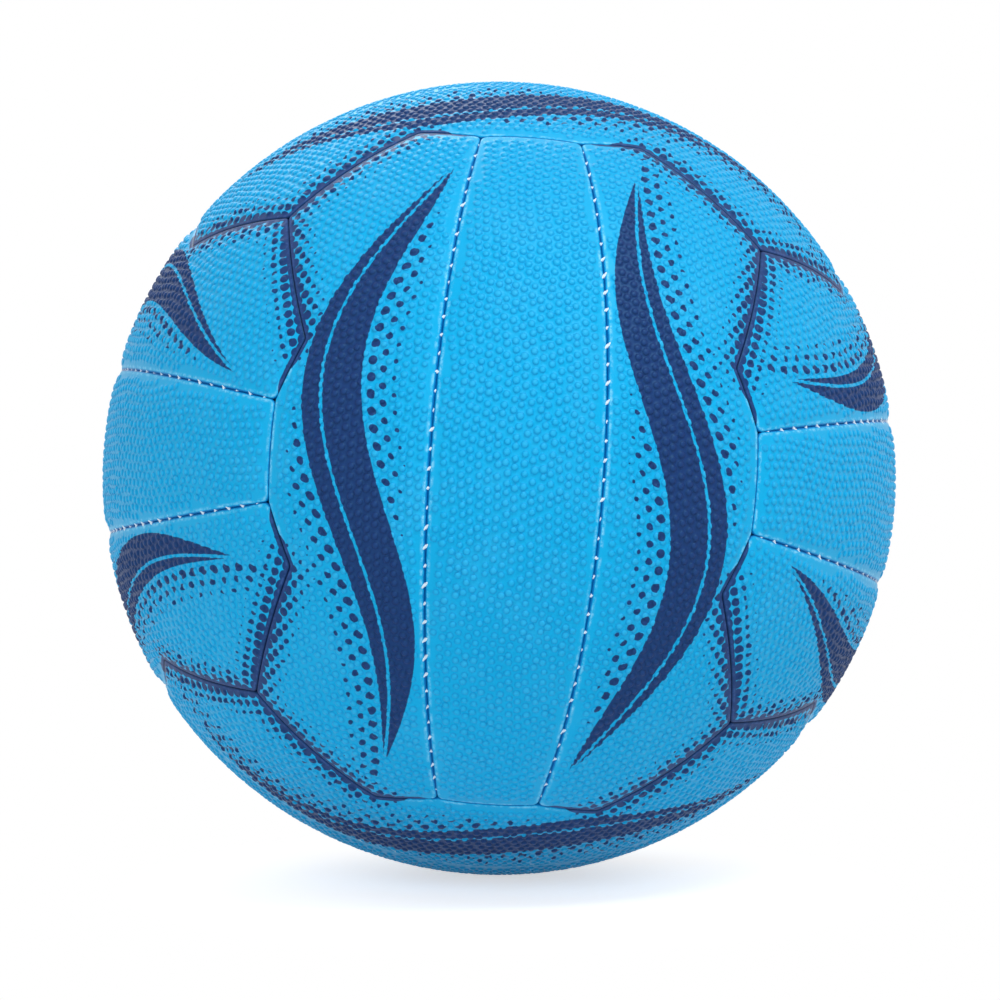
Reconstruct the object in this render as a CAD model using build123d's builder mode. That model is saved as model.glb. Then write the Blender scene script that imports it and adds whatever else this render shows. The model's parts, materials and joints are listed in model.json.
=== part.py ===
from build123d import *
from math import radians, tan
import os

# Netball sewn from eighteen panels: three strips on each of six faces, turned in and stitched together.
# The origin is the ball's centre, +Z is up and -Y is the front. Lengths are millimetres, angles degrees.

# Ball and wall, from the outside in
BALL_DIAMETER = 223.0
COVER_THICKNESS = 1.2
BOND_GAP = 0.1
LINING_THICKNESS = 2.0
BLADDER_GAP = 0.3
BLADDER_THICKNESS = 0.6

# Panel pattern, as angles off the face normal seen from the ball's centre
LONG_SEAM_ANGLE = 11.9
STRIP_END_ANGLE = 54.4
TIP_END_ANGLE = 57.6
TIP_SIDE_ANGLE = 27.7

# Seams and thread
SEAM_GAP = 0.3
SEAM_EDGE_RADIUS = 1.1
PANEL_CORNER_RADIUS = 2.0
MOST_OF_WALL = 0.95
STITCH_DIAMETER = 0.8
STITCH_PITCH = 5.1
STITCH_END_MARGIN = 4.0
STRAND_WIDTH = 1.0
STRAND_THICKNESS = 0.5
STRAND_OVERHANG = 1.0
THREAD_DROP = 0.15
THREAD_CLEARANCE = 0.06

# Valve, in the middle of the back face
VALVE_STEM_DIAMETER = 7.6
VALVE_HOLE_CLEARANCE = 0.2
VALVE_RECESS = 0.4
VALVE_FLANGE_DIAMETER = 24.0
VALVE_FLANGE_THICKNESS = 1.2
VALVE_TUBE_DIAMETER = 9.0
VALVE_TUBE_LENGTH = 9.0
CORE_HEAD_DIAMETER = 5.4
CORE_HEAD_THICKNESS = 1.0
CORE_DIAMETER = 4.4
CORE_FIT = 0.05
NEEDLE_BORE_DIAMETER = 2.1
NEEDLE_BORE_LENGTH = 7.0
NEEDLE_MOUTH_CHAMFER = 0.4
SLIT_WIDTH = 3.0
SLIT_GAP = 0.15

# Radii of the layers
ball_radius = BALL_DIAMETER / 2
pocket_radius = ball_radius - COVER_THICKNESS
lining_outer_radius = pocket_radius - BOND_GAP
wall_inner_radius = lining_outer_radius - LINING_THICKNESS
bladder_outer_radius = wall_inner_radius - BLADDER_GAP
bladder_inner_radius = bladder_outer_radius - BLADDER_THICKNESS

# Places across a seam, from the seam's middle plane
turned_edge_start = SEAM_GAP / 2
turned_edge_end = turned_edge_start + COVER_THICKNESS
strand_offset = turned_edge_end + THREAD_CLEARANCE + STRAND_THICKNESS / 2
strand_outside = strand_offset + STRAND_THICKNESS / 2
lining_inset = strand_outside + THREAD_CLEARANCE
stitch_radius = pocket_radius - THREAD_DROP - max(STITCH_DIAMETER, STRAND_WIDTH) / 2
seam_edge_radius = min(SEAM_EDGE_RADIUS, MOST_OF_WALL * COVER_THICKNESS)

# A wedge runs from the ball's centre out through an outline, between these two heights on the face normal
WEDGE_NEAR_SHARE = 0.4
WEDGE_FAR_SHARE = 1.1
wedge_near = WEDGE_NEAR_SHARE * ball_radius
wedge_far = WEDGE_FAR_SHARE * ball_radius

# Turns a sphere's poles away from the face normal, clear of the panels
POLES_ASIDE = (90, 0, 0)


# Outlines lie on a plane one unit out from the ball's centre, where every seam is a straight line.
# X runs along the strips and Y across them.
def outline_point(angle_along, angle_across):
    return (tan(radians(angle_along)), tan(radians(angle_across)))


def seen_from_next_face(point):
    return (point[1] / point[0], 1 / point[0])


def mirrored(point):
    return (-point[0], point[1])


def direction(point):
    return Vector(point[0], point[1], 1).normalized()


def closed_pairs(points):
    return list(zip(points, points[1:] + points[:1]))


junction = outline_point(STRIP_END_ANGLE, LONG_SEAM_ANGLE)
tip = outline_point(TIP_END_ANGLE, TIP_SIDE_ANGLE)
corner = (1.0, 1.0)
next_junction = seen_from_next_face(junction)
next_tip = seen_from_next_face(tip)

long_seam = [mirrored(junction), junction]
half_edge_seam = [corner, next_tip, next_junction]
edge_seam = half_edge_seam + [mirrored(point) for point in reversed(half_edge_seam)]
outer_outline = long_seam + [tip] + edge_seam + [mirrored(tip)]
centre_outline = [(x, -y) for x, y in long_seam] + list(reversed(long_seam))


def wall_normal(start, end):
    return direction(start).cross(direction(end)).normalized()


def outline_at(outline, height, inset):
    """Corners of an outline at a height on the face normal, with every seam wall moved in by the inset."""
    walls = [wall_normal(start, end) for start, end in closed_pairs(outline)]
    corners = []
    for before, after in zip(walls[-1:] + walls[:-1], walls):
        reach_before = inset - before.Z * height
        reach_after = inset - after.Z * height
        spread = before.X * after.Y - before.Y * after.X
        x = (reach_before * after.Y - reach_after * before.Y) / spread
        y = (reach_after * before.X - reach_before * after.X) / spread
        corners.append((x, y))
    return corners


def wedge(outline, inset):
    """Flat-walled wedge from near the ball's centre out past its surface, inside an outline."""
    near = [Vector(x, y, wedge_near) for x, y in outline_at(outline, wedge_near, inset)]
    far = [Vector(x, y, wedge_far) for x, y in outline_at(outline, wedge_far, inset)]
    walls = [
        Face(Wire.make_polygon([near_start, near_end, far_end, far_start]))
        for (near_start, near_end), (far_start, far_end) in zip(closed_pairs(near), closed_pairs(far))
    ]
    caps = [Face(Wire.make_polygon(points)) for points in (near, far)]
    return Solid(Shell(walls + caps))


def shell_patch(outline, inset, outer_radius, inner_radius):
    """Piece of a spherical shell inside an outline, with its edges set in from the seams."""
    with BuildPart() as patch:
        Sphere(outer_radius, rotation=POLES_ASIDE)
        Sphere(inner_radius, rotation=POLES_ASIDE, mode=Mode.SUBTRACT)
        add(wedge(outline, inset), mode=Mode.INTERSECT)
    return patch.part


def stitch_places(start, end):
    """Planes of the stitches along one seam, each square to the seam wall at the stitch's middle."""
    normal = wall_normal(start, end)
    first = direction(start)
    seam_angle = first.get_angle(direction(end))
    margin_angle = STITCH_END_MARGIN / radians(ball_radius)
    pitch_angle = STITCH_PITCH / radians(ball_radius)
    spans = max(1, round((seam_angle - 2 * margin_angle) / pitch_angle))
    step = (seam_angle - 2 * margin_angle) / spans
    radials = [first.rotate(Axis((0, 0, 0), normal), margin_angle + step * i) for i in range(spans + 1)]
    return [Plane(origin=radial * stitch_radius, x_dir=radial, z_dir=normal) for radial in radials]


def cover_panel(outline):
    """Panel skin with rounded seam edges turned in behind it and punched for the stitches."""
    pocket = shell_patch(outline, turned_edge_end, pocket_radius, wedge_near)
    with BuildPart() as cover:
        add(shell_patch(outline, turned_edge_start, ball_radius, wall_inner_radius))
        fillet(cover.edges().filter_by(GeomType.LINE), PANEL_CORNER_RADIUS)
        outside = cover.faces().filter_by(GeomType.SPHERE).sort_by(SortBy.AREA)[-1]
        fillet(outside.edges(), seam_edge_radius)
        add(pocket, mode=Mode.SUBTRACT)
        places = [place for seam in closed_pairs(outline) for place in stitch_places(*seam)]
        with Locations(*places):
            Cylinder(STITCH_DIAMETER / 2 + THREAD_CLEARANCE, 2 * strand_offset, mode=Mode.SUBTRACT)
    return cover.part


def lining_panel(outline):
    """Woven backing behind the skin, clear of the thread that runs along the turned edges."""
    return shell_patch(outline, lining_inset, lining_outer_radius, wall_inner_radius)


def seam_thread(seams):
    """Thread of a run of seams: stitches through both turned edges, joined by a flat strand along each."""
    overhang_angle = STRAND_OVERHANG / radians(stitch_radius)
    with BuildPart() as thread:
        for start, end in seams:
            places = stitch_places(start, end)
            first, last = places[0], places[-1]
            seam_axis = Axis((0, 0, 0), first.z_dir)
            strand_start = first.x_dir.rotate(seam_axis, -overhang_angle)
            strand_angle = first.x_dir.get_angle(last.x_dir) + 2 * overhang_angle
            across = strand_start.cross(first.z_dir)
            with BuildSketch(Plane(origin=(0, 0, 0), x_dir=strand_start, z_dir=across)):
                with Locations((stitch_radius, strand_offset), (stitch_radius, -strand_offset)):
                    Rectangle(STRAND_WIDTH, STRAND_THICKNESS)
            revolve(axis=seam_axis, revolution_arc=strand_angle)
            with Locations(*places):
                Cylinder(STITCH_DIAMETER / 2, 2 * strand_offset)
    return thread.part


# Each face: outward normal, direction of its strips, and the faces beside its two long edges
FACES = {
    "front": ((0, -1, 0), (0, 0, 1), ("left", "right")),
    "back": ((0, 1, 0), (0, 0, 1), ("right", "left")),
    "right": ((1, 0, 0), (0, 1, 0), ("top", "bottom")),
    "left": ((-1, 0, 0), (0, 1, 0), ("bottom", "top")),
    "top": ((0, 0, 1), (1, 0, 0), ("back", "front")),
    "bottom": ((0, 0, -1), (1, 0, 0), ("front", "back")),
}
VALVE_FACE = "back"


def face_plane(face, turned=False):
    normal, strip_direction, _ = FACES[face]
    along = Vector(*strip_direction)
    return Plane(origin=(0, 0, 0), x_dir=-along if turned else along, z_dir=normal)


os.makedirs("parts", exist_ok=True)


def write_piece(label, master, *planes):
    """Write one node: the master piece set on each of the planes."""
    with BuildPart(*planes) as piece:
        add(master)
    piece.part.label = label
    export_step(piece.part, f"parts/{label}.step")


# Cover panels, linings and thread, made once each and set on every face
centre_cover = cover_panel(centre_outline)
outer_cover = cover_panel(outer_outline)
centre_lining = lining_panel(centre_outline)
outer_lining = lining_panel(outer_outline)
strip_thread = seam_thread([long_seam])
edge_thread = seam_thread(list(zip(edge_seam, edge_seam[1:])))

# The valve's panel and lining have a hole for the valve stem
valve_hole_radius = VALVE_STEM_DIAMETER / 2 + VALVE_HOLE_CLEARANCE
with BuildPart() as valve_cover:
    add(centre_cover)
    Cylinder(valve_hole_radius, BALL_DIAMETER, mode=Mode.SUBTRACT)
with BuildPart() as valve_lining:
    add(centre_lining)
    Cylinder(valve_hole_radius, BALL_DIAMETER, mode=Mode.SUBTRACT)

for face, (_, _, neighbours) in FACES.items():
    cover = valve_cover.part if face == VALVE_FACE else centre_cover
    lining = valve_lining.part if face == VALVE_FACE else centre_lining
    both_planes = (face_plane(face), face_plane(face, turned=True))
    write_piece(f"{face}_centre_panel", cover, face_plane(face))
    write_piece(f"{face}_centre_lining", lining, face_plane(face))
    write_piece(f"{face}_strip_thread", strip_thread, *both_planes)
    for neighbour, plane in zip(neighbours, both_planes):
        write_piece(f"{face}_{neighbour}_panel", outer_cover, plane)
        write_piece(f"{face}_{neighbour}_lining", outer_lining, plane)
        write_piece(f"{face}_{neighbour}_edge_thread", edge_thread, plane)

# Air bladder, open where the valve stem comes out
valve_plane = face_plane(VALVE_FACE)
with BuildPart(valve_plane) as bladder:
    Sphere(bladder_outer_radius)
    Sphere(bladder_inner_radius, mode=Mode.SUBTRACT)
    with Locations((0, 0, ball_radius)):
        Cylinder(valve_hole_radius, BALL_DIAMETER, mode=Mode.SUBTRACT)
bladder.part.label = "bladder"
export_step(bladder.part, "parts/bladder.step")

# Valve housing: a flange bonded inside the bladder, a stem out to the cover and a tube inwards
STANDING = (Align.CENTER, Align.CENTER, Align.MIN)
flange_outer_radius = bladder_inner_radius - BOND_GAP
flange_inner_radius = flange_outer_radius - VALVE_FLANGE_THICKNESS
stem_top = ball_radius - VALVE_RECESS
tube_end = flange_inner_radius - VALVE_TUBE_LENGTH
core_length = stem_top - tube_end
with BuildPart(valve_plane) as valve_housing:
    with Locations((0, 0, tube_end)):
        Cylinder(VALVE_FLANGE_DIAMETER / 2, core_length, align=STANDING)
    Sphere(flange_outer_radius, mode=Mode.INTERSECT)
    Sphere(flange_inner_radius, mode=Mode.SUBTRACT)
    with Locations((0, 0, tube_end)):
        Cylinder(VALVE_STEM_DIAMETER / 2, core_length, align=STANDING)
        Cylinder(VALVE_TUBE_DIAMETER / 2, VALVE_TUBE_LENGTH + VALVE_FLANGE_THICKNESS / 2, align=STANDING)
    with Locations((0, 0, stem_top)):
        CounterBoreHole(
            CORE_DIAMETER / 2 + CORE_FIT,
            CORE_HEAD_DIAMETER / 2 + CORE_FIT,
            CORE_HEAD_THICKNESS + CORE_FIT,
            core_length,
        )
valve_housing.part.label = "valve_housing"
export_step(valve_housing.part, "parts/valve_housing.step")

# Valve core: a headed plug with the needle bore, closed below by a slit between two lips
with BuildPart(valve_plane) as valve_core:
    with Locations((0, 0, tube_end)):
        Cylinder(CORE_DIAMETER / 2, core_length, align=STANDING)
    with Locations((0, 0, stem_top - CORE_HEAD_THICKNESS)):
        Cylinder(CORE_HEAD_DIAMETER / 2, CORE_HEAD_THICKNESS, align=STANDING)
    with Locations((0, 0, stem_top)):
        Hole(NEEDLE_BORE_DIAMETER / 2, NEEDLE_BORE_LENGTH)
    bore_edges = valve_core.edges().filter_by(GeomType.CIRCLE).group_by(SortBy.RADIUS)[0]
    chamfer(bore_edges.sort_by(Axis.Y)[-1], NEEDLE_MOUTH_CHAMFER)
    with Locations((0, 0, tube_end)):
        Box(
            SLIT_WIDTH,
            SLIT_GAP,
            core_length - NEEDLE_BORE_LENGTH,
            align=STANDING,
            mode=Mode.SUBTRACT,
        )
valve_core.part.label = "valve_core"
export_step(valve_core.part, "parts/valve_core.step")
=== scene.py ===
"""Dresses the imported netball: pimpled cover panels, sewn seams, lining, bladder and valve.

The ball's centre is the origin, +Z is up, the camera stands in front at -Y and the valve is behind
at +Y. Panels and stitches are worked out in millimetres and become metres where a mesh is made.
"""

from __future__ import annotations

import json
import logging
import math
from collections.abc import Callable
from dataclasses import dataclass
from enum import Enum

import bpy
import numpy as np
from bpy.types import Material, Mesh, Node, NodeSocket, NodeTree, Object
from mathutils import Matrix, Vector
from mathutils.geometry import delaunay_2d_cdt
from mathutils.kdtree import KDTree

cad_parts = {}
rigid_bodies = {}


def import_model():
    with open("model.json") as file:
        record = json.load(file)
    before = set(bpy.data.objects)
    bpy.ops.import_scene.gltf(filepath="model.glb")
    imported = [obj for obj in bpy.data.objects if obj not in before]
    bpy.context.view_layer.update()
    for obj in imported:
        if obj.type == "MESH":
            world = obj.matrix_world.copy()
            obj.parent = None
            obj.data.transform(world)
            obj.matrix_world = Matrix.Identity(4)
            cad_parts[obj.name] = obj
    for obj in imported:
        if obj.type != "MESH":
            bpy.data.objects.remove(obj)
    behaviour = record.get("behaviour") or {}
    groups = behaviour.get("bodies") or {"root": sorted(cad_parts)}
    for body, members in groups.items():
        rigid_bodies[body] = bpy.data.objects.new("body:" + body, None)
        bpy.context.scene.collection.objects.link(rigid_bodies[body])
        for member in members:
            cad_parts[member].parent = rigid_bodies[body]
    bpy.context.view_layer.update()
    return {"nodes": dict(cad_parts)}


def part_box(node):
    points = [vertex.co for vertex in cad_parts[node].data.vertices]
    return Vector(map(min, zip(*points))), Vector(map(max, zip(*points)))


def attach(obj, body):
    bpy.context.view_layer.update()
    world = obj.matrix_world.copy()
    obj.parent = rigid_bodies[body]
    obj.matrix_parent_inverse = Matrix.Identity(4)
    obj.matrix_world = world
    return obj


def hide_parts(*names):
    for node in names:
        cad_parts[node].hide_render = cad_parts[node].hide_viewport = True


LOG = logging.getLogger("netball")
BODY = "root"
MILLIMETRE = 0.001
SCREEN_FULL = 255
SCREEN_TOE_END = 0.04045
SCREEN_TOE_SLOPE = 12.92
SCREEN_CURVE_SHIFT = 0.055
SCREEN_CURVE_POWER = 2.4

Colour = tuple[float, float, float, float]
Pair = tuple[float, float]


def painted(red: int, green: int, blue: int) -> Colour:
    """Gives a shader colour from the three numbers of a screen colour.

    Args:
        red: red from 0 to 255.
        green: green from 0 to 255.
        blue: blue from 0 to 255.

    Returns:
        The colour as linear values with full opacity.
    """
    linear = []
    for value in (red, green, blue):
        share = value / SCREEN_FULL
        curved = (share + SCREEN_CURVE_SHIFT) / (1 + SCREEN_CURVE_SHIFT)
        in_toe = share <= SCREEN_TOE_END
        linear.append(share / SCREEN_TOE_SLOPE if in_toe else curved**SCREEN_CURVE_POWER)
    return (linear[0], linear[1], linear[2], 1.0)


WHITE = painted(255, 255, 255)


def unit(vectors: np.ndarray) -> np.ndarray:
    """Scales vectors along the last axis to length one."""
    return vectors / np.linalg.norm(vectors, axis=-1, keepdims=True)


def eased(value: np.ndarray, low: float, high: float) -> np.ndarray:
    """Rises smoothly from 0 at low to 1 at high."""
    share = np.clip((value - low) / (high - low), 0.0, 1.0)
    return share * share * (3 - 2 * share)


def inside_outline(outline: np.ndarray, points: np.ndarray) -> np.ndarray:
    """Tells which flat points lie inside a closed flat outline.

    Args:
        outline: corners of the outline, one row each.
        points: points to test, one row each.

    Returns:
        One truth value per point.
    """
    along, across = points.T
    found = np.zeros(len(points), bool)
    for (x0, y0), (x1, y1) in zip(outline, np.roll(outline, -1, axis=0)):
        spans = (y0 > across) != (y1 > across)
        rise = y1 - y0 if y1 != y0 else 1.0
        found ^= spans & (along < (x1 - x0) * (across - y0) / rise + x0)
    return found


def hexagonal_grid(low: np.ndarray, high: np.ndarray, pitch: float) -> np.ndarray:
    """Lays points in staggered rows over a flat box.

    Args:
        low: the box's lowest corner.
        high: the box's highest corner.
        pitch: distance between neighbours.

    Returns:
        The points, one row each.
    """
    row_step = pitch * math.sqrt(3) / 2
    rows = []
    for row, across in enumerate(np.arange(low[1], high[1], row_step)):
        along = np.arange(low[0] + (row % 2) * pitch / 2, high[0], pitch)
        rows.append(np.column_stack([along, np.full(len(along), across)]))
    return np.vstack(rows)


def flat_tree(places: np.ndarray) -> KDTree:
    """Sorts flat places so that the nearest one is found quickly.

    Args:
        places: the places, one row each.

    Returns:
        The sorted places, numbered by row.
    """
    tree = KDTree(len(places))
    for index, (along, across) in enumerate(places):
        tree.insert((along, across, 0.0), index)
    tree.balance()
    return tree


class Face(Enum):
    """A face of the panel pattern: outward axis, strip axis and the faces beside its strips."""

    FRONT = ((0, -1, 0), (0, 0, 1), ("left", "right"))
    BACK = ((0, 1, 0), (0, 0, 1), ("right", "left"))
    RIGHT = ((1, 0, 0), (0, 1, 0), ("top", "bottom"))
    LEFT = ((-1, 0, 0), (0, 1, 0), ("bottom", "top"))
    TOP = ((0, 0, 1), (1, 0, 0), ("back", "front"))
    BOTTOM = ((0, 0, -1), (1, 0, 0), ("front", "back"))

    @property
    def label(self) -> str:
        """The face's name as the frame's nodes spell it."""
        return self.name.lower()

    @property
    def neighbours(self) -> tuple[str, str]:
        """Names of the faces beside its first and its second outer strip."""
        return self.value[2]

    def placing(self, turned: bool = False) -> np.ndarray:
        """Gives the turn from a panel's own layout to this face.

        Args:
            turned: whether the layout is turned half round, as for the second outer strip.

        Returns:
            A 3 by 3 matrix whose columns are the layout's along, across and outward axes.
        """
        outward, along, _ = self.value
        along_axis = (-1 if turned else 1) * np.array(along, float)
        outward_axis = np.array(outward, float)
        return np.column_stack([along_axis, np.cross(outward_axis, along_axis), outward_axis])


VALVE_FACE = Face.BACK


@dataclass(frozen=True)
class SeamPattern:
    """Seam lines of one face, from angles at the ball's centre in degrees."""

    CENTRE_LONG_SIDES = (0, 2)
    OUTER_LONG_SIDES = (9,)

    long_seam: float = 11.9
    strip_end: float = 54.4
    tip_end: float = 57.6
    tip_side: float = 27.7

    @staticmethod
    def directions(points: list[Pair]) -> np.ndarray:
        """Turns points on a plane one unit out from the centre into unit directions."""
        return unit(np.array([(x, y, 1.0) for x, y in points]))

    @staticmethod
    def mirrored(points: list[Pair]) -> list[Pair]:
        """Mirrors points end for end along the strip, in the opposite order."""
        return [(-x, y) for x, y in reversed(points)]

    def junction(self) -> Pair:
        """Where a long seam meets the strip's end."""
        return (math.tan(math.radians(self.strip_end)), math.tan(math.radians(self.long_seam)))

    def tip(self) -> Pair:
        """The bend in an outer strip's end."""
        return (math.tan(math.radians(self.tip_end)), math.tan(math.radians(self.tip_side)))

    def half_edge(self) -> list[Pair]:
        """The first half of the seam between two faces, from the corner that three faces share."""
        next_face = [(y / x, 1 / x) for x, y in (self.tip(), self.junction())]
        return [(1.0, 1.0), *next_face]

    def long_seam_line(self) -> np.ndarray:
        """The two ends of a long seam."""
        return self.directions([*self.mirrored([self.junction()]), self.junction()])

    def edge_seam_line(self) -> np.ndarray:
        """The points of the seam between two faces."""
        return self.directions(self.half_edge() + self.mirrored(self.half_edge()))

    def centre_outline(self) -> np.ndarray:
        """The corners of a centre strip, anticlockwise."""
        x, y = self.junction()
        return self.directions([(-x, -y), (x, -y), (x, y), (-x, y)])

    def outer_outline(self) -> np.ndarray:
        """The corners of an outer strip, anticlockwise."""
        half = [self.junction(), self.tip(), *self.half_edge()]
        return self.directions(half + self.mirrored(half))


@dataclass(frozen=True)
class CoverSizes:
    """Sizes of the ball's cover in millimetres."""

    radius: float
    skin: float = 1.2
    wall_depth: float = 3.3
    turned_edge: float = 1.2
    seam_gap: float = 0.08
    gaping_roll: float = 1.15
    tight_roll: float = 0.7
    tight_shift: float = 0.22
    gape_settle: float = 9.0
    edge_lean: float = 30.0
    roll_rows: int = 6
    corner_radius: float = 2.0
    pillow_depth: float = 0.45
    pillow_reach: float = 3.6
    valve_hole_radius: float = 4.0
    rim_roll: float = 0.6
    edge_step: float = 0.9
    corner_steps: int = 7
    ceiling_pitch: float = 5.0
    ceiling_room: float = 1.0

    @property
    def turned_edge_end(self) -> float:
        """Distance from a seam's middle to the far side of the turned edge."""
        return self.seam_gap / 2 + self.turned_edge

    def edge_roll(self, gape: np.ndarray) -> np.ndarray:
        """Radius of the rolled edge, from a tight seam to a gaping one."""
        return self.tight_roll + (self.gaping_roll - self.tight_roll) * gape

    def seam_reading(self, seam: np.ndarray, gape: np.ndarray) -> np.ndarray:
        """Distance from a seam as its shading sees it, which is narrower where the seam is tight."""
        return seam + self.tight_shift * (1 - gape)

    def pillow(self, seam: np.ndarray) -> np.ndarray:
        """How far the skin is pulled down at a distance from its seam."""
        return self.pillow_depth * np.exp(-((seam / self.pillow_reach) ** 2))


@dataclass(frozen=True)
class PimpleGrain:
    """The moulded pimples: low domes in wandering staggered rows, in millimetres."""

    pitch: float = 2.68
    diameter: float = 1.95
    height: float = 0.58
    clearance: float = 2.15
    full_height_at: float = 4.5
    least_height: float = 0.7
    wander: float = 0.55
    wander_length: float = 46.0
    wander_drift: Pair = (0.04, 0.0)
    wander_start: Pair = (0.0, 2.0)
    ripple: float = 0.5
    ripple_rate: Pair = (1.7, 1.4)
    ripple_drift: Pair = (0.0, 0.05)
    ripple_start: Pair = (1.0, 0.0)
    scatter: float = 0.36
    size_spread: float = 0.05
    height_spread: float = 0.1
    lowest_share: float = 0.5
    filler_pitch: float = 0.95
    filler_room: float = 0.3
    seed: int = 18
    rings: tuple[tuple[float, float, int], ...] = (
        (0.45, 0.94, 7),
        (0.71, 0.76, 11),
        (0.89, 0.34, 13),
        (1.02, 0.0, 13),
    )

    def stray(self, axis: int, ahead: np.ndarray, beside: np.ndarray) -> np.ndarray:
        """How far rows stray along one axis: a long wave with a ripple on it.

        Args:
            axis: 0 along the strip, 1 across it.
            ahead: places on the axis that the waves run along.
            beside: places on the other axis, with which the waves drift.

        Returns:
            The shares of the full wander.
        """
        rate = 2 * math.pi / self.wander_length
        wave = rate * ahead + self.wander_drift[axis] * beside + self.wander_start[axis]
        ripple = self.ripple_rate[axis] * rate * ahead + self.ripple_drift[axis] * beside
        return np.sin(wave) + self.ripple * np.sin(ripple + self.ripple_start[axis])

    def middles(self, low: np.ndarray, high: np.ndarray) -> np.ndarray:
        """Lays the pimples' middles over a flat box.

        Args:
            low: the box's lowest corner.
            high: the box's highest corner.

        Returns:
            The middles, one row each.
        """
        grid = hexagonal_grid(low, high, self.pitch)
        along, across = grid.T
        wander = np.column_stack([self.stray(0, across, along), self.stray(1, along, across)])
        draw = np.random.default_rng(self.seed)
        return grid + self.wander * wander + draw.uniform(-self.scatter, self.scatter, grid.shape)


@dataclass(frozen=True)
class StripMap:
    """Lays a strip of the ball out flat, along its middle line and across it, in millimetres."""

    radius: float
    tilt: float

    def lean(self) -> np.ndarray:
        """Turns the strip's middle line up to the outward axis."""
        cosine, sine = math.cos(self.tilt), math.sin(self.tilt)
        return np.array([(1, 0, 0), (0, cosine, -sine), (0, sine, cosine)])

    def flat(self, directions: np.ndarray) -> np.ndarray:
        """Lays unit directions out flat.

        Args:
            directions: the directions, one row each.

        Returns:
            Their places along and across the strip.
        """
        along, across, outward = (directions @ self.lean().T).T
        return self.radius * np.column_stack(
            [np.arctan2(along, outward), np.arcsin(np.clip(across, -1, 1))]
        )

    def directions(self, flat: np.ndarray) -> np.ndarray:
        """Turns flat places back into unit directions.

        Args:
            flat: places along and across the strip, one row each.

        Returns:
            The directions, one row each.
        """
        along, across = (flat / self.radius).T
        leaning = np.column_stack(
            [np.cos(across) * np.sin(along), np.sin(across), np.cos(across) * np.cos(along)]
        )
        return leaning @ self.lean()


@dataclass
class PanelEdge:
    """A panel's rounded edge line on the unit ball.

    Beside each point it has the way into the panel and how far the seam gapes, from 0 to 1.
    """

    points: np.ndarray
    inward: np.ndarray
    gape: np.ndarray

    @classmethod
    def around(
        cls, corners: np.ndarray, gaping: tuple[int, ...], sizes: CoverSizes, fineness: int = 1
    ) -> PanelEdge:
        """Follows an outline of great circles with its corners rounded.

        Args:
            corners: unit directions of the outline's corners, anticlockwise.
            gaping: numbers of the sides whose seams gape.
            sizes: sizes of the cover.
            fineness: how many times closer together the points are than on the mesh.

        Returns:
            The edge line.
        """
        sides = unit(np.cross(corners, np.roll(corners, -1, axis=0)))
        rounding = sizes.corner_radius / sizes.radius
        step = sizes.edge_step / sizes.radius / fineness
        arcs = [
            cls.rounded_corner(corner, before, after, rounding, sizes.corner_steps * fineness)
            for corner, before, after in zip(corners, np.roll(sides, 1, axis=0), sides)
        ]
        points, inward, gape = [], [], []
        for index, (arc, arc_inward) in enumerate(arcs):
            start = arc[-1]
            end = arcs[(index + 1) % len(arcs)][0][0]
            reach = math.acos(np.clip(start @ end, -1, 1))
            turns = np.linspace(0, reach, max(2, math.ceil(reach / step)) + 1)[1:-1]
            forward = np.cross(sides[index], start)
            side = np.outer(np.cos(turns), start) + np.outer(np.sin(turns), forward)
            opening = eased(np.minimum(turns, reach - turns) * sizes.radius, 0.0, sizes.gape_settle)
            points += [arc, side]
            inward += [arc_inward, np.tile(sides[index], (len(side), 1))]
            gape += [np.zeros(len(arc)), opening * (index in gaping)]
        return cls(np.vstack(points), np.vstack(inward), np.concatenate(gape))

    @staticmethod
    def rounded_corner(
        corner: np.ndarray, before: np.ndarray, after: np.ndarray, rounding: float, steps: int
    ) -> tuple[np.ndarray, np.ndarray]:
        """Rounds one corner of an outline with a small circle.

        Args:
            corner: unit direction of the corner.
            before: normal of the side that ends there, into the panel.
            after: normal of the side that starts there, into the panel.
            rounding: the circle's radius as an angle.
            steps: spans along the arc.

        Returns:
            The arc's points and the way into the panel at each.
        """
        across = np.cross(before, after)
        bulge = 1.0 if across @ corner > 0 else -1.0
        lift = bulge * math.sin(rounding) / (1 + before @ after)
        rest = math.sqrt(1 - lift**2 * np.sum((before + after) ** 2)) / np.linalg.norm(across)
        middle = lift * (before + after) + bulge * rest * across
        start = unit(middle - (middle @ before) * before)
        end = unit(middle - (middle @ after) * after)
        first = unit(start - (start @ middle) * middle)
        second = np.cross(middle, first)
        sweep = math.atan2(end @ second, end @ first)
        turns = np.linspace(0, sweep, steps + 1)[:, None]
        reach = math.acos(np.clip(start @ middle, -1, 1))
        arc = math.cos(reach) * middle + math.sin(reach) * (np.cos(turns) * first + np.sin(turns) * second)
        return arc, bulge * unit(middle - (arc @ middle)[:, None] * arc)

    def inset(self, angle: np.ndarray | float) -> np.ndarray:
        """Moves the line into the panel by an angle, or by one at each point."""
        turn = np.broadcast_to(angle, len(self.points))[:, None]
        return np.cos(turn) * self.points + np.sin(turn) * self.inward


def arithmetic(operation: str) -> Callable[..., Signal]:
    """Gives a method that works out one step of arithmetic with a shader node.

    Args:
        operation: the node's name for the step.

    Returns:
        A method that takes the step's other values.
    """

    def step(self: Signal, *others: Signal | float) -> Signal:
        """Works the step out from this value and the others."""
        return self.sheet.math(operation, self, *others)

    return step


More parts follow.
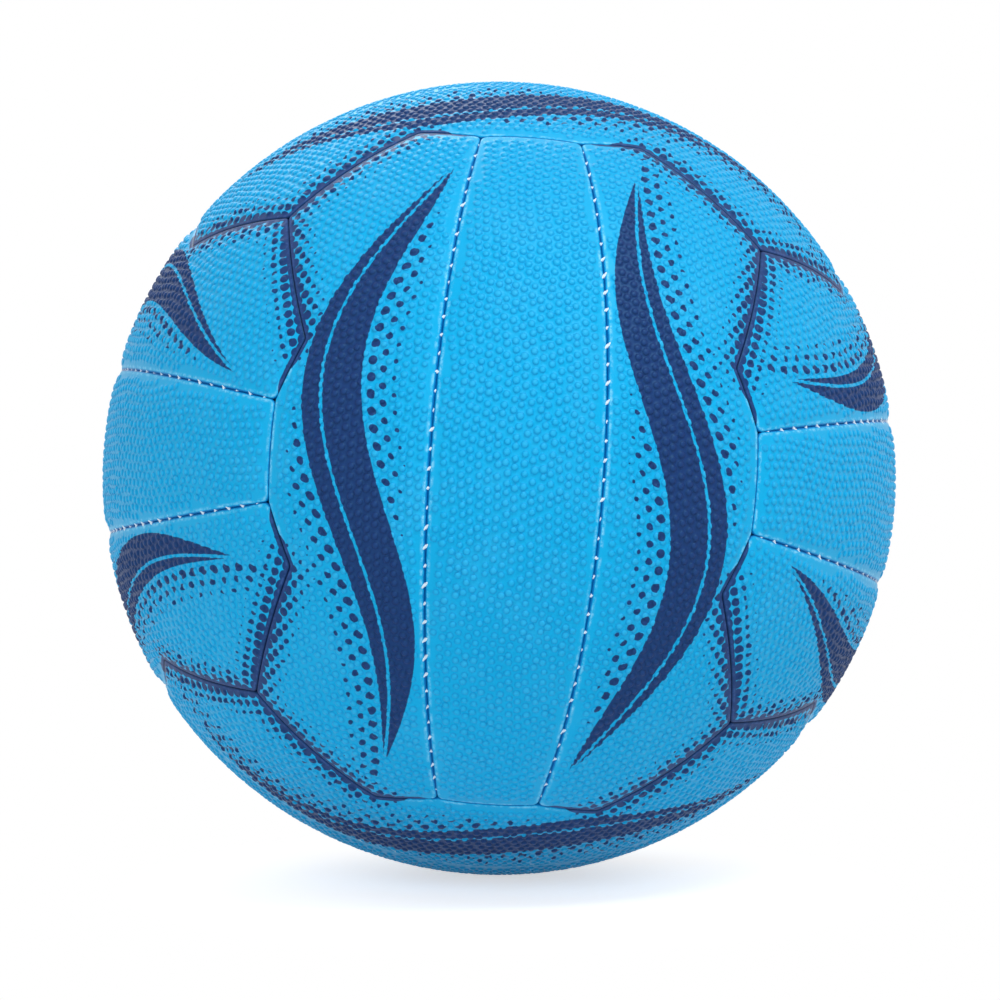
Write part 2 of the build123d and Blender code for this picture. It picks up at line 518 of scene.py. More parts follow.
class Signal:
    """A number that flows between shader nodes and is written as plain arithmetic."""

    __add__ = __radd__ = arithmetic("ADD")
    __mul__ = __rmul__ = arithmetic("MULTIPLY")
    __sub__ = arithmetic("SUBTRACT")
    __truediv__ = arithmetic("DIVIDE")
    __abs__ = arithmetic("ABSOLUTE")
    sine = arithmetic("SINE")
    power = arithmetic("POWER")
    fraction = arithmetic("FRACT")
    at_least = arithmetic("MAXIMUM")
    at_most = arithmetic("MINIMUM")

    def __init__(self, sheet: NodeSheet, socket: NodeSocket) -> None:
        """Keeps the socket and the sheet that it is on."""
        self.sheet = sheet
        self.socket = socket

    def __rsub__(self, other: float) -> Signal:
        """Takes this value from a number."""
        return self.sheet.math("SUBTRACT", other, self)

    def span(self, other: Signal) -> Signal:
        """The distance that two values at right angles make."""
        return (self.power(2.0) + other.power(2.0)).power(0.5)

    def eased(self, low: float, high: float) -> Signal:
        """Rises smoothly from 0 to 1.

        Args:
            low: value where the rise starts.
            high: value where it ends.

        Returns:
            The eased value.
        """
        node = self.sheet.add("ShaderNodeMapRange", interpolation_type="SMOOTHSTEP")
        self.sheet.wire(node, {"Value": self, "From Min": low, "From Max": high})
        return Signal(self.sheet, node.outputs["Result"])


class NodeSheet:
    """One material's node graph."""

    MIX_FACTOR = 0
    MIX_FIRST = 6
    MIX_SECOND = 7
    MIX_RESULT = 2
    WAVE_RATE = 20

    def __init__(self, name: str) -> None:
        """Starts a material with its surface shader.

        Args:
            name: the material's name.
        """
        self.material = bpy.data.materials.new(name)
        self.material.use_nodes = True
        self.tree = self.material.node_tree
        self.surface = next(n for n in self.tree.nodes if n.type == "BSDF_PRINCIPLED")

    def add(self, kind: str, **settings: str) -> Node:
        """Adds a node and sets its options.

        Args:
            kind: Blender's name for the kind of node.
            settings: its options by name.

        Returns:
            The node.
        """
        node = self.tree.nodes.new(kind)
        for option, value in settings.items():
            setattr(node, option, value)
        return node

    def wire(self, node: Node, values: dict[str | int, Signal | float | Colour]) -> None:
        """Links signals to a node's sockets, and sets plain values on the sockets themselves.

        Args:
            node: the node.
            values: what each socket gets, by the socket's name or number.
        """
        for socket, value in values.items():
            if isinstance(value, Signal):
                self.tree.links.new(value.socket, node.inputs[socket])
            else:
                node.inputs[socket].default_value = value

    def surfaced(self, values: dict[str | int, Signal | float | Colour]) -> Material:
        """Sets the surface shader's sockets and gives the finished material."""
        self.wire(self.surface, values)
        return self.material

    def math(self, operation: str, *values: Signal | float) -> Signal:
        """Works out one step of arithmetic.

        Args:
            operation: the node's name for the step.
            values: what goes in, in order.

        Returns:
            The result.
        """
        node = self.add("ShaderNodeMath", operation=operation)
        self.wire(node, dict(enumerate(values)))
        return Signal(self, node.outputs[0])

    def position(self) -> Signal:
        """The place on the object, in metres."""
        return Signal(self, self.add("ShaderNodeTexCoord").outputs["Object"])

    def attribute(self, name: str) -> Signal:
        """One number that the mesh carries."""
        return Signal(self, self.add("ShaderNodeAttribute", attribute_name=name).outputs["Fac"])

    def vector_attribute(self, name: str) -> tuple[Signal, Signal, Signal]:
        """Three numbers that the mesh carries.

        Args:
            name: the attribute's name.

        Returns:
            The three numbers, each by itself.
        """
        node = self.add("ShaderNodeAttribute", attribute_name=name)
        parts = self.add("ShaderNodeSeparateXYZ")
        self.wire(parts, {0: Signal(self, node.outputs["Vector"])})
        return tuple(Signal(self, output) for output in parts.outputs)

    def noise(self, feature: float, detail: float = 2.0, roughness: float = 0.5) -> Signal:
        """Soft noise over the object.

        Args:
            feature: size of its blotches in millimetres.
            detail: how many finer layers it has.
            roughness: strength of the finer layers.

        Returns:
            A value around one half.
        """
        node = self.add("ShaderNodeTexNoise")
        self.wire(node, {"Vector": self.position(), "Scale": 1 / (feature * MILLIMETRE)})
        self.wire(node, {"Detail": detail, "Roughness": roughness})
        return Signal(self, node.outputs[0])

    def waves(self, axis: str, pitch: float, distortion: float = 0.0) -> Signal:
        """Parallel ridges across one axis of the object.

        Args:
            axis: X, Y or Z.
            pitch: distance between ridges in millimetres.
            distortion: how far they stray.

        Returns:
            A value from 0 in the furrows to 1 on the ridges.
        """
        node = self.add("ShaderNodeTexWave", bands_direction=axis)
        scale = 2 * math.pi / (self.WAVE_RATE * pitch * MILLIMETRE)
        self.wire(node, {"Vector": self.position(), "Scale": scale, "Distortion": distortion})
        return Signal(self, node.outputs["Fac"])

    def blend(self, amount: Signal, first: Signal | Colour, second: Signal | Colour) -> Signal:
        """Mixes two colours.

        Args:
            amount: share of the second colour, from 0 to 1.
            first: the colour at 0.
            second: the colour at 1.

        Returns:
            The mixed colour.
        """
        node = self.add("ShaderNodeMix", data_type="RGBA")
        self.wire(node, {self.MIX_FACTOR: amount, self.MIX_FIRST: first, self.MIX_SECOND: second})
        return Signal(self, node.outputs[self.MIX_RESULT])

    def relief(self, height: Signal, depth: float) -> Signal:
        """Roughens the surface.

        Args:
            height: relief from 0 to 1.
            depth: height of the relief in millimetres.

        Returns:
            The roughened normal.
        """
        node = self.add("ShaderNodeBump")
        self.wire(node, {"Strength": 1.0, "Distance": depth * MILLIMETRE, "Height": height})
        return Signal(self, node.outputs["Normal"])


@dataclass(frozen=True)
class WavePrint:
    """Ink on an outer strip: a tapering wave, dots that fade away from it, and dotted seam edging.

    Sizes are in millimetres along and across the strip.
    """

    wave_length: float = 150.0
    wave_height: float = 9.0
    wave_start: float = 0.6
    wave_middle: float = -3.0
    half_width: float = 9.0
    reach: float = 90.0
    slit_share: float = 0.35
    slit_width: float = 0.9
    dot_pitch: float = 4.6
    dot_rows: tuple[Pair, ...] = ((2.6, 1.25), (5.9, 0.95), (9.0, 0.65))
    dot_start: float = 15.0
    dot_end: float = 75.0
    dot_clear: Pair = (3.0, 9.0)
    edging_width: float = 1.5
    edging_ends: Pair = (20.0, 25.0)
    edging_side: Pair = (-14.0, -8.0)
    screen_pitch: float = 4.2
    screen_size: float = 2.1
    screen_reach: float = 12.0
    screen_ends: Pair = (12.0, 40.0)
    screen_side: Pair = (-12.0, 4.0)
    least_dot: float = 0.3
    soft_edge: float = 0.12
    ragged_edge: float = 0.25
    ragged_size: float = 1.1

    def amount(self, sheet: NodeSheet, along: Signal, across: Signal, seam: Signal) -> Signal:
        """Draws the ink.

        Args:
            sheet: the material's graph.
            along: place along the strip.
            across: place across the strip.
            seam: distance from the nearest seam.

        Returns:
            1 where the ink is and 0 on the bare skin.
        """
        ragged = (sheet.noise(self.ragged_size) - 0.5) * self.ragged_edge
        wave = (along * (2 * math.pi / self.wave_length) + self.wave_start).sine()
        offset = across - (wave * self.wave_height + self.wave_middle)
        taper = (1.0 - (along / self.reach).power(2.0)).at_least(0.0)
        width = taper * self.half_width
        band = width - abs(offset)
        slit = abs(offset - width * self.slit_share) - self.slit_width / 2
        shapes = [band.at_most(slit)]
        for side in (1.0, -1.0):
            out = offset * side - width
            fade = (along * -side).eased(-self.dot_end, self.dot_start) * seam.eased(*self.dot_clear)
            shapes += [self.dots(along, out, fade, row) for row in range(len(self.dot_rows))]
        shapes += self.edging(along, across, seam)
        deepest = shapes[0]
        for shape in shapes[1:]:
            deepest = deepest.at_least(shape)
        return (deepest + ragged).eased(-self.soft_edge, self.soft_edge)

    def dots(self, along: Signal, out: Signal, fade: Signal, row: int) -> Signal:
        """One row of dots beside the wave.

        Args:
            along: place along the strip.
            out: distance out from the wave's edge.
            fade: share of the full size that the dots have.
            row: number of the row, from the wave outwards.

        Returns:
            A shape that is positive inside a dot.
        """
        distance, size = self.dot_rows[row]
        cell = ((along / self.dot_pitch + 0.5 * row).fraction() - 0.5) * self.dot_pitch
        return fade * (size + self.least_dot) - self.least_dot - cell.span(out - distance)

    def edging(self, along: Signal, across: Signal, seam: Signal) -> list[Signal]:
        """A thin band along the outer seams and two screens of dots that shrink away from it.

        Args:
            along: place along the strip.
            across: place across the strip.
            seam: distance from the nearest seam.

        Returns:
            Shapes that are positive inside.
        """
        band = abs(along).eased(*self.edging_ends) * across.eased(*self.edging_side)
        fade = abs(along).eased(*self.screen_ends) * across.eased(*self.screen_side)
        size = fade * (1.0 - seam / self.screen_reach) * self.screen_size - self.least_dot
        shapes = [band * (self.edging_width + self.least_dot) - self.least_dot - seam]
        for shift in (0.0, 0.5):
            cells = [(place / self.screen_pitch + shift).fraction() - 0.5 for place in (along, across)]
            shapes.append(size - cells[0].span(cells[1]) * self.screen_pitch)
        return shapes


@dataclass(frozen=True)
class CoverFinish:
    """Satin coloured rubber with a fine grain; pale beside the seams from rubbed wear and a painted
    highlight, with painted shade in the seams and round the pimples' feet.
    """

    name: str
    skin: Colour = painted(0, 161, 215)
    seam_shade: Colour = painted(0, 110, 180)
    rubbed_and_highlit: Colour = painted(150, 218, 246)
    ink: Colour = painted(18, 44, 102)
    ink_shade: Colour = painted(8, 26, 74)
    rubbed_and_highlit_ink: Colour = painted(58, 88, 152)
    printing: WavePrint | None = None
    mottle_size: float = 14.0
    mottle_wear: float = 0.12
    mottle_sheen: float = 0.1
    scuff_size: float = 1.6
    scuff_range: Pair = (0.4, 0.7)
    scuff_depth: float = 0.25
    shoulder_rise: Pair = (0.5, 0.75)
    shoulder_fall: Pair = (0.8, 1.7)
    shoulder_wear_and_highlight: float = 0.6
    groove_edge: Pair = (0.4, 0.65)
    pimple_wear: float = 0.045
    foot_rise: Pair = (0.0, 0.12)
    foot_fall: Pair = (0.2, 0.7)
    foot_shade: float = 0.4
    grain_size: float = 0.35
    grain_sheen: float = 0.12
    grain_share: float = 0.6
    wrinkle_size: float = 0.9
    relief_depth: float = 0.03
    roughness: float = 0.44
    ink_roughness: float = 0.05
    reflection: float = 0.36
    reflection_tint: Colour = (0.32, 0.84, 1.0, 1.0)

    def material(self) -> Material:
        """Makes the cover's material.

        Returns:
            The material.
        """
        sheet = NodeSheet(self.name)
        along, across, seam = sheet.vector_attribute(PanelSkin.PLACE)
        pimple = sheet.attribute(PanelSkin.PIMPLE)
        mottle = sheet.noise(self.mottle_size, detail=4.0) - 0.5
        grain = sheet.noise(self.grain_size, detail=3.0)
        scuffs = sheet.noise(self.scuff_size, detail=4.0, roughness=0.65).eased(*self.scuff_range)
        # Pale streaks beside the seams: partly rubbed wear, partly a painted highlight where the rolled
        # edges catch the light; pimple tops and mottling are wear.
        shoulder = seam.eased(*self.shoulder_rise) * (1.0 - seam.eased(*self.shoulder_fall)) * scuffs
        wear_and_highlight = pimple * self.pimple_wear + mottle * self.mottle_wear + shoulder * self.shoulder_wear_and_highlight
        wear_and_highlight = wear_and_highlight.at_least(0.0)
        # Painted shade: the seam groove and the crease round each pimple's foot are darkened in the
        # colour, on the bare skin and under the ink alike.
        groove = 1.0 - (seam + scuffs * self.scuff_depth).eased(*self.groove_edge)
        foot = pimple.eased(*self.foot_rise) * (1.0 - pimple.eased(*self.foot_fall))
        dark = groove.at_least(foot * self.foot_shade)
        colour = sheet.blend(dark, sheet.blend(wear_and_highlight, self.skin, self.rubbed_and_highlit), self.seam_shade)
        rough = self.roughness + (grain - 0.5) * self.grain_sheen + mottle * self.mottle_sheen
        if self.printing:
            amount = self.printing.amount(sheet, along, across, seam)
            ink = sheet.blend(dark, sheet.blend(wear_and_highlight, self.ink, self.rubbed_and_highlit_ink), self.ink_shade)
            colour = sheet.blend(amount, colour, ink)
            rough = rough + amount * self.ink_roughness
        height = grain * self.grain_share + sheet.noise(self.wrinkle_size) * (1 - self.grain_share)
        return sheet.surfaced(
            {
                "Base Color": colour,
                "Roughness": rough,
                "Specular IOR Level": self.reflection,
                "Specular Tint": self.reflection_tint,
                "Normal": sheet.relief(height, self.relief_depth),
            }
        )


@dataclass(frozen=True)
class ThreadFinish:
    """Pale polyester sewing thread with its twist, tinted blue in paint for the light the blue cover
    throws on it.
    """

    name: str = "sewing_thread"
    bright: Colour = painted(232, 240, 246)
    shaded: Colour = painted(176, 204, 224)
    fibre_size: float = 0.18
    fibre_depth: float = 0.04
    fibre_roughness: float = 0.2
    roughness: float = 0.5
    sheen: float = 0.2

    def material(self) -> Material:
        """Makes the thread's material.

        Returns:
            The material.
        """
        sheet = NodeSheet(self.name)
        fibre = sheet.noise(self.fibre_size, detail=3.0, roughness=0.6)
        # Both colours carry a painted blue reflection from the cover; the fibre noise mixes them at
        # random.
        return sheet.surfaced(
            {
                "Base Color": sheet.blend(fibre, self.shaded, self.bright),
                "Roughness": fibre * self.fibre_roughness + self.roughness,
                "Sheen Weight": self.sheen,
                "Normal": sheet.relief(fibre, self.fibre_depth),
            }
        )


@dataclass(frozen=True)
class LiningFinish:
    """Undyed plain-woven backing cloth."""

    name: str = "woven_lining"
    warp: Colour = painted(214, 208, 194)
    weft: Colour = painted(190, 184, 170)
    thread_pitch: float = 0.8
    thread_stray: float = 0.4
    thread_depth: float = 0.15
    weave_share: float = 0.7
    blotch_size: float = 6.0
    roughness: float = 0.95
    ridge_polish: float = 0.15

    def material(self) -> Material:
        """Makes the cloth's material.

        Returns:
            The material.
        """
        sheet = NodeSheet(self.name)
        ridges = [sheet.waves(axis, self.thread_pitch, self.thread_stray) for axis in ("X", "Y", "Z")]
        weave = ridges[0].at_least(ridges[1]).at_least(ridges[2])
        blotches = sheet.noise(self.blotch_size, detail=3.0)
        tone = weave * self.weave_share + blotches * (1 - self.weave_share)
        return sheet.surfaced(
            {
                "Base Color": sheet.blend(tone, self.weft, self.warp),
                "Roughness": self.roughness - weave * self.ridge_polish,
                "Normal": sheet.relief(weave, self.thread_depth),
            }
        )


@dataclass(frozen=True)
class RubberFinish:
    """Moulded black or grey rubber with a dusty bloom."""

    name: str
    base: Colour
    bloom: Colour
    roughness: float = 0.6
    dust_size: float = 3.0
    dust_range: Pair = (0.4, 0.8)
    dust_roughness: float = 0.2
    grain_size: float = 0.12
    grain_depth: float = 0.02

    def material(self) -> Material:
        """Makes the rubber's material.

        Returns:
            The material.
        """
        sheet = NodeSheet(self.name)
        dust = sheet.noise(self.dust_size, detail=5.0, roughness=0.6)
        return sheet.surfaced(
            {
                "Base Color": sheet.blend(dust.eased(*self.dust_range), self.base, self.bloom),
                "Roughness": self.roughness + (dust - 0.5) * self.dust_roughness,
                "Normal": sheet.relief(sheet.noise(self.grain_size), self.grain_depth),
            }
        )


def background_rays(tree: NodeTree) -> NodeSocket:
    """Adds nodes that tell the rays that show the background from those that light the ball.

    Args:
        tree: node tree of a floor or of the world.

    Returns:
        A socket that is 1 for camera, glossy and transmission rays and 0 for the others.
    """
    rays = tree.nodes.new("ShaderNodeLightPath").outputs
    shown = rays["Is Camera Ray"]
    for kind in ("Is Glossy Ray", "Is Transmission Ray"):
        either = tree.nodes.new("ShaderNodeMath")
        either.operation = "MAXIMUM"
        tree.links.new(shown, either.inputs[0])
        tree.links.new(rays[kind], either.inputs[1])
        shown = either.outputs[0]
    return shown


@dataclass(frozen=True)
class FloorFinish:
    """Pale matt paper that keeps the ball's shadow near its middle and is plain white further out."""

    name: str
    shadow_room: Pair
    pale: Colour = painted(238, 238, 238)
    speckle: Colour = painted(232, 233, 234)
    speckle_size: float = 40.0
    hidden: Colour = painted(0, 0, 0)
    lift: float = 0.6
    roughness: float = 0.9

    def material(self) -> Material:
        """Makes the paper's material.

        Returns:
            The material.
        """
        sheet = NodeSheet(self.name)
        seen = Signal(sheet, background_rays(sheet.tree))
        reach = sheet.add("ShaderNodeVectorMath", operation="LENGTH")
        sheet.wire(reach, {0: sheet.position()})
        far = Signal(sheet, reach.outputs["Value"]).eased(*self.shadow_room)
        paint = sheet.blend(sheet.noise(self.speckle_size), self.pale, self.speckle)
        return sheet.surfaced(
            {
                "Base Color": sheet.blend(far * seen, paint, self.hidden),
                "Roughness": self.roughness,
                "Specular IOR Level": 0.0,
                "Emission Color": WHITE,
                "Emission Strength": seen * (far * (1.0 - self.lift) + self.lift),
            }
        )


def mesh_object(name: str, mesh: Mesh, material: Material) -> Object:
    """Puts a mesh in the scene with one material.

    Args:
        name: the piece's name.
        mesh: its mesh, in metres.
        material: its finish.

    Returns:
        The new object.
    """
    mesh.materials.clear()
    mesh.materials.append(material)
    piece = bpy.data.objects.new(name, mesh)
    bpy.context.scene.collection.objects.link(piece)
    return piece


def cover_piece(name: str, node: str, mesh: Mesh, material: Material, slot: str) -> Object:
    """Puts a mesh in the scene in the place of one of the frame's nodes.

    Args:
        name: the piece's name.
        node: the node that it stands for.
        mesh: its mesh, in metres.
        material: its finish.
        slot: the record's name for the finish; not used.

    Returns:
        The piece.
    """
    piece = mesh_object(name, mesh, material)
    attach(piece, BODY)
    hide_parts(node)
    return piece


def triangle_mesh(name: str, points: np.ndarray, triangles: np.ndarray) -> Mesh:
    """Makes a smooth-shaded mesh of triangles.

    Args:
        name: the mesh's name.
        points: corners in millimetres, one row each.
        triangles: three corner numbers per row.

    Returns:
        The mesh, in metres.
    """
    mesh = bpy.data.meshes.new(name)
    mesh.vertices.add(len(points))
    mesh.vertices.foreach_set("co", (points * MILLIMETRE).astype(np.float32).ravel())
    mesh.loops.add(triangles.size)
    mesh.loops.foreach_set("vertex_index", triangles.astype(np.int32).ravel())
    mesh.polygons.add(len(triangles))
    mesh.polygons.foreach_set("loop_start", np.arange(0, triangles.size, 3, dtype=np.int32))
    mesh.polygons.foreach_set("use_smooth", np.ones(len(triangles), bool))
    mesh.update(calc_edges=True)
    return mesh


def placed_copy(mesh: Mesh, name: str, placing: np.ndarray) -> Mesh:
    """Copies a mesh and turns it to its place on the ball.

    Args:
        mesh: the mesh in a panel's own layout.
        name: the copy's name.
        placing: turn from that layout to the ball.

    Returns:
        The copy.
    """
    copy = mesh.copy()
    copy.name = name
    copy.transform(Matrix(placing.tolist()).to_4x4())
    copy.update()
    return copy


class PanelSkin:
    """The mesh of one cover panel in its own layout: pimpled skin, rolled edges and turned-in walls."""

    PLACE = "panel_place"
    PIMPLE = "pimple"
    BAKE_MAP = "OFBake"
    DENSE_EDGE = 4
    RIM_SIDES = 96
    FAR_FROM_SEAM = 1000.0
    INSIDE_LOOPS = 1
    EXACT = 1e-7
    WALL_BAND = (0.0, 0.12)
    RIM_BAND = (0.13, 0.15)
    CEILING_BAND = (0.16, 0.28)
    SKIN_BAND = (0.3, 1.0)

    def __init__(
        self,
        outline: np.ndarray,
        gaping: tuple[int, ...],
        tilt: float,
        sizes: CoverSizes,
        grain: PimpleGrain,
        holed: bool = False,
    ) -> None:
        """Lays out the panel's edge.

        Args:
            outline: unit directions of the seam corners, anticlockwise.
            gaping: numbers of the sides whose seams gape.
            tilt: angle from the face's middle to the strip's middle line.
            sizes: sizes of the cover.
            grain: the pimples.
            holed: whether the panel has the valve hole in its middle.
        """
        self.sizes = sizes
        self.grain = grain
        self.holed = holed
        self.strip = StripMap(sizes.radius, tilt)
        self.edge = PanelEdge.around(outline, gaping, sizes)
        self.dense_edge = PanelEdge.around(outline, gaping, sizes, self.DENSE_EDGE)
        self.seam_tree = KDTree(len(self.dense_edge.points))
        for index, point in enumerate(self.dense_edge.points * sizes.radius):
            self.seam_tree.insert(point, index)
        self.seam_tree.balance()
        self.seam_outline = self.strip.flat(self.edge.points)
        self.flat_box = self.seam_outline.min(axis=0), self.seam_outline.max(axis=0)
        self.directions: list[np.ndarray] = []
        self.heights: list[np.ndarray] = []
        self.seams: list[np.ndarray] = []
        self.pimples: list[np.ndarray] = []
        self.count = 0
        self.triangles: list[np.ndarray] = []
        self.bake_places: list[np.ndarray] = []

    def add_points(
        self,
        directions: np.ndarray,
        heights: np.ndarray | float,
        seams: np.ndarray | float,
        pimples: np.ndarray | float = 0.0,
    ) -> np.ndarray:
        """Adds points to the mesh.

        Args:
            directions: unit directions from the ball's centre.
            heights: distances from the ball's centre.
            seams: distances from the nearest seam, as the shading sees them.
            pimples: share of a pimple's height at each point.

        Returns:
            The points' numbers.
        """
        size = len(directions)
        self.directions.append(directions)
        self.heights.append(np.broadcast_to(heights, size))
        self.seams.append(np.broadcast_to(seams, size))
        self.pimples.append(np.broadcast_to(pimples, size))
        self.count += size
        return np.arange(self.count - size, self.count)

    def nearest_seam(self, flat: np.ndarray) -> tuple[np.ndarray, np.ndarray]:
        """Finds the seam nearest to flat places.

        Args:
            flat: places on the strip, one row each.

        Returns:
            Its distance from each place, and how far it gapes there.
        """
        points = self.strip.directions(flat) * self.sizes.radius
        found = [self.seam_tree.find(point) for point in points]
        return np.array([hit[2] for hit in found]), self.dense_edge.gape[[hit[1] for hit in found]]

    def with_room(
        self, places: np.ndarray, seam_room: float, rim_room: float
    ) -> tuple[np.ndarray, np.ndarray]:
        """Keeps the flat places on the panel that have room to its seams and to any valve hole.

        Args:
            places: flat places, one row each.
            seam_room: least distance from a seam.
            rim_room: least distance from the rim of the valve hole.

        Returns:
            The places kept, and how far each is from the nearest seam.
        """
        places = places[inside_outline(self.seam_outline, places)]
        seams, _ = self.nearest_seam(places)
        kept = seams > seam_room
        if self.holed:
            kept &= np.hypot(*places.T) > self.sizes.valve_hole_radius + self.sizes.rim_roll + rim_room
        return places[kept], seams[kept]

    def skin_height(self, seam: np.ndarray | float) -> np.ndarray:
        """Distance of the skin between pimples from the ball's centre."""
        return self.sizes.radius - self.grain.height - self.sizes.pillow(seam)

    def join_rings(self, rings: list[np.ndarray], band: Pair) -> None:
        """Joins rings of points into a closed band of triangles.

        Args:
            rings: point numbers of each ring, in order.
            band: the part of the bake map that it takes, from bottom to top.
        """
        size = len(rings[0])
        here = np.arange(size)
        across = here / size
        step = 1 / size
        levels = np.linspace(band[0], band[1], len(rings))
        for lower, upper, low, high in zip(rings, rings[1:], levels, levels[1:]):
            following = (here + 1) % size
            corners = [(lower[here], across, low), (lower[following], across + step, low)]
            corners += [(upper[following], across + step, high), (upper[here], across, high)]
            for chosen in ((0, 1, 2), (0, 2, 3)):
                self.triangles.append(np.column_stack([corners[c][0] for c in chosen]))
                places = [np.column_stack([corners[c][1], np.full(size, corners[c][2])]) for c in chosen]
                self.bake_places.append(np.stack(places, axis=1))

    def fill(self, loops: list[np.ndarray], inner: np.ndarray, band: Pair, outwards: bool) -> None:
        """Fills the space inside a loop of points with triangles, around any second loop.

        Args:
            loops: point numbers of the outer loop and of the loop round a hole, if there is one.
            inner: numbers of the points between.
            band: the part of the bake map that it takes, from bottom to top.
            outwards: whether the triangles face out of the ball.
        """
        numbers = np.concatenate([*loops, inner])
        flat = self.strip.flat(np.vstack(self.directions)[numbers])
        borders = []
        start = 0
        for loop in loops:
            borders += [(start + i, start + (i + 1) % len(loop)) for i in range(len(loop))]
            start += len(loop)
        places = [Vector(place) for place in flat]
        found = delaunay_2d_cdt(places, borders, [], self.INSIDE_LOOPS, self.EXACT, True)
        sources = np.array([origin[0] for origin in found[3]])
        triangles = sources[np.array(found[2])]
        outer = flat[: len(loops[0])]
        stray = (triangles < len(outer)).all(axis=1)
        stray[stray] = ~inside_outline(outer, flat[triangles[stray]].mean(axis=1))
        triangles = triangles[~stray]
        if len(loops) > 1:
            hole = flat[len(outer) : start]
            triangles = triangles[~inside_outline(hole, flat[triangles].mean(axis=1))]
        if not outwards:
            triangles = triangles[:, ::-1]
        low, high = self.flat_box
        share = (flat - low) / (high - low)
        baked = np.column_stack([share[:, 0], band[0] + share[:, 1] * (band[1] - band[0])])
        self.triangles.append(numbers[triangles])
        self.bake_places.append(baked[triangles])

    def edge_rings(self) -> list[np.ndarray]:
        """Adds the rings round the edge, from the skin's underside round the turned edge to its top.

        Returns:
            The point numbers of each ring, in that order.
        """
        sizes = self.sizes
        gap = sizes.seam_gap / 2
        underside = sizes.radius - sizes.skin
        wall_foot = sizes.radius - sizes.wall_depth
        rings = [(sizes.turned_edge_end, underside), (sizes.turned_edge_end, wall_foot), (gap, wall_foot)]
        lean = math.radians(sizes.edge_lean)
        roll = sizes.edge_roll(self.edge.gape)
        for turn in np.linspace(lean, math.pi / 2, sizes.roll_rows + 1):
            seam = gap + roll * (math.cos(lean) - math.cos(turn))
            rings.append((seam, self.skin_height(seam) - roll * (1 - math.sin(turn))))
        return [
            self.add_points(
                self.edge.inset(seam / sizes.radius), height, sizes.seam_reading(seam, self.edge.gape)
            )
            for seam, height in rings
        ]

    def rim_rings(self) -> list[np.ndarray]:
        """Adds the rings round the valve hole, from the skin's top down to its underside.

        Returns:
            The point numbers of each ring, in that order.
        """
        sizes = self.sizes
        around = np.linspace(0, -2 * math.pi, self.RIM_SIDES, endpoint=False)
        far = self.skin_height(self.FAR_FROM_SEAM)
        rows = []
        for turn in np.linspace(math.pi / 2, 0, sizes.roll_rows + 1):
            reach = sizes.valve_hole_radius + sizes.rim_roll * (1 - math.cos(turn))
            rows.append((reach, far - sizes.rim_roll * (1 - math.sin(turn))))
        rows.append((sizes.valve_hole_radius, sizes.radius - sizes.skin))
        rings = []
        for reach, height in rows:
            sine, cosine = math.sin(reach / sizes.radius), math.cos(reach / sizes.radius)
            outward = np.full(self.RIM_SIDES, cosine)
            directions = np.column_stack([sine * np.cos(around), sine * np.sin(around), outward])
            rings.append(self.add_points(directions, height, self.FAR_FROM_SEAM))
        return rings

    def pimple_middles(self) -> tuple[np.ndarray, np.ndarray]:
        """Chooses the pimples that have room.

        Returns:
            The flat middles of the pimples, and the share of the full height that each has.
        """
        grain = self.grain
        middles, seams = self.with_room(grain.middles(*self.flat_box), grain.clearance, grain.clearance)
        draw = np.random.default_rng(grain.seed + 1)
        settled = eased(seams, grain.clearance, grain.full_height_at)
        rise = grain.least_height + (1 - grain.least_height) * settled
        moulded = 1 - np.abs(draw.normal(0, grain.height_spread, len(middles)))
        return middles, rise * moulded.clip(grain.lowest_share, 1.0)

    def pimple_points(self) -> np.ndarray:
        """Adds the pimples and the points between them.

        Returns:
            The numbers of the points added.
        """
        grain = self.grain
        middles, rise = self.pimple_middles()
        nearest = flat_tree(middles)
        draw = np.random.default_rng(grain.seed + 2)
        sizes = grain.diameter / 2 * (1 + draw.normal(0, grain.size_spread, len(middles)))
        places, shares = [middles], [rise]
        for reach, height, count in grain.rings:
            starts = draw.uniform(0, 2 * math.pi, len(middles))
            turns = starts[:, None] + np.arange(count) * 2 * math.pi / count
            spokes = np.stack([np.cos(turns), np.sin(turns)], axis=2)
            ring = (middles[:, None] + (sizes * reach)[:, None, None] * spokes).reshape(-1, 2)
            owner = np.repeat(np.arange(len(middles)), count)
            kept = np.array([nearest.find((x, y, 0.0))[1] for x, y in ring]) == owner
            places.append(ring[kept])
            shares.append((rise * height)[owner[kept]])
        places.append(self.filler(nearest))
        shares.append(np.zeros(len(places[-1])))
        flat, share = np.vstack(places), np.concatenate(shares)
        seam, gape = self.nearest_seam(flat)
        heights = self.skin_height(seam) + grain.height * share
        shaded = self.sizes.seam_reading(seam, gape)
        return self.add_points(self.strip.directions(flat), heights, shaded, share)

    def filler(self, nearest: KDTree) -> np.ndarray:
        """Gives flat places for the plain skin between the pimples.

        Args:
            nearest: the pimples' middles.

        Returns:
            The places, one row each.
        """
        grain = self.grain
        grid = hexagonal_grid(*self.flat_box, grain.filler_pitch)
        places, _ = self.with_room(grid, self.sizes.turned_edge_end + grain.filler_room, grain.filler_room)
        apart = np.array([nearest.find((x, y, 0.0))[2] for x, y in places])
        return places[apart > grain.diameter / 2 * grain.rings[-1][0] + grain.filler_room]

    def ceiling_points(self) -> np.ndarray:
        """Adds a coarse grid of points on the skin's underside.

        Returns:
            The numbers of the points added.
        """
        sizes = self.sizes
        grid = hexagonal_grid(*self.flat_box, sizes.ceiling_pitch)
        flat, seam = self.with_room(grid, sizes.turned_edge_end + sizes.ceiling_room, sizes.ceiling_room)
        return self.add_points(self.strip.directions(flat), sizes.radius - sizes.skin, seam)

